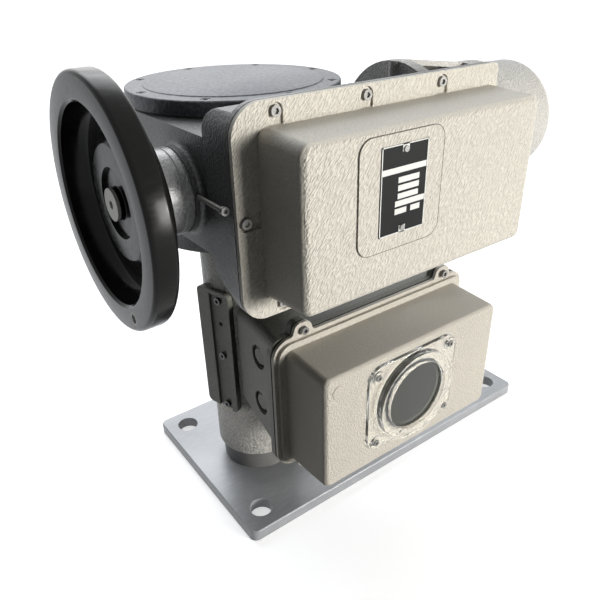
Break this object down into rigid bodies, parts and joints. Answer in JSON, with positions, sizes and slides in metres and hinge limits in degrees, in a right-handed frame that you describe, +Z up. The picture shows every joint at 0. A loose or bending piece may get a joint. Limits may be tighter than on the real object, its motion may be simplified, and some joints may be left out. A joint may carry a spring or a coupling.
{
  "type": "electric valve actuator",
  "caption": "Part-turn electric valve actuator: worm gear case on a column and base plate, side handwheel, motor, control cover and windowed terminal box.",
  "frame": {"origin": "centre of the base plate's underside, midway between its four mounting holes", "axes": "+X along the base plate from the handwheel end to the motor end, -Y to the covers and the window, +Z up"},
  "size_m": [0.5405, 0.3427, 0.505],
  "materials": {
    "plate_paint": "smooth semi-gloss silver grey paint",
    "hammer_silver": "hammered silver enamel",
    "hammer_dark": "hammered dark grey enamel",
    "cover_paint": "satin grey paint",
    "foot_paint": "satin dark grey paint",
    "screw_steel": "satin stainless",
    "machined_steel": "ground steel",
    "bearing_steel": "polished",
    "bronze": "machined bronze",
    "gasket_rubber": "matt black",
    "handwheel_black": "polished black moulding",
    "core_steel": "stacked laminations",
    "plate_black": "black print on aluminium with blank fields",
    "board_green": "circuit board",
    "capacitor_can": "white moulded can",
    "clear_window": "clear moulding",
    "dark_glass": "dark tinted",
    "display_black": "dark display housing",
    "terminal_grey": "moulded grey",
    "lever_paint": "satin grey paint"
  },
  "bodies": {
    "housing": {"base_plate": "plate_paint", "column_foot": "foot_paint", "foot_screws": "screw_steel", "column": "hammer_silver", "column_rail": "hammer_dark", "rail_screws": "screw_steel", "lower_bush": "bronze", "gear_case": "hammer_dark", "column_bolts": "screw_steel", "output_bearing_lower": "bearing_steel", "output_bearing_upper": "bearing_steel", "cover_gasket": "gasket_rubber", "case_cover": "cover_paint", "cover_screws": "screw_steel", "bearing_cap": "hammer_dark", "cap_screws": "screw_steel", "worm_bearings": "bearing_steel", "lock_screw": "screw_steel", "coupling_lantern": "hammer_silver", "lantern_screws": "screw_steel", "motor_flange": "hammer_silver", "motor_housing": "hammer_silver", "motor_screws": "screw_steel", "motor_stator": "core_steel", "motor_bearings": "bearing_steel", "control_housing": "hammer_dark", "control_housing_screws": "screw_steel", "control_gasket": "gasket_rubber", "control_cover": "hammer_silver", "control_cover_screws": "screw_steel", "data_plate": "plate_black", "plate_pins": "screw_steel", "control_board": "board_green", "motor_capacitor": "capacitor_can", "terminal_housing": "hammer_dark", "housing_bolts": "screw_steel", "terminal_gasket": "gasket_rubber", "terminal_cover": "hammer_silver", "terminal_cover_screws": "screw_steel", "window_frame": "clear_window", "window_lens": "dark_glass", "window_screws": "screw_steel", "display_module": "display_black", "cable_plugs": "hammer_dark", "terminal_block": "terminal_grey", "sensor_body": "display_black"},
    "output": {"output_shaft": "machined_steel", "worm_wheel": "bronze", "feedback_gear": "machined_steel", "crank_lever": "lever_paint", "lever_screw": "screw_steel"},
    "drive": {"worm_shaft": "machined_steel", "handwheel": "handwheel_black", "hub_washer": "screw_steel", "hub_screw": "screw_steel", "handle_insert": "screw_steel", "shaft_coupling": "machined_steel", "motor_rotor": "core_steel"},
    "sensor": {"sensor_pinion": "machined_steel"}
  },
  "joints": [
    {"name": "output_turn", "type": "hinge", "parent": "housing", "child": "output", "pos_m": [-0.139, 0, 0.092], "axis": [0, 0, 1], "range_deg": [0, 90]},
    {"name": "worm_turn", "type": "hinge", "parent": "housing", "child": "drive", "pos_m": [-0.139, -0.084, 0.405], "axis": [1, 0, 0], "range_deg": [-3600, 0]},
    {"name": "sensor_turn", "type": "hinge", "parent": "housing", "child": "sensor", "pos_m": [-0.1875, 0.028, 0.37], "axis": [0, 0, 1], "range_deg": [-270, 0]}
  ],
  "couplings": [
    {"joint": "worm_turn", "follows": "output_turn", "ratio": -40},
    {"joint": "sensor_turn", "follows": "output_turn", "ratio": -3}
  ]
}
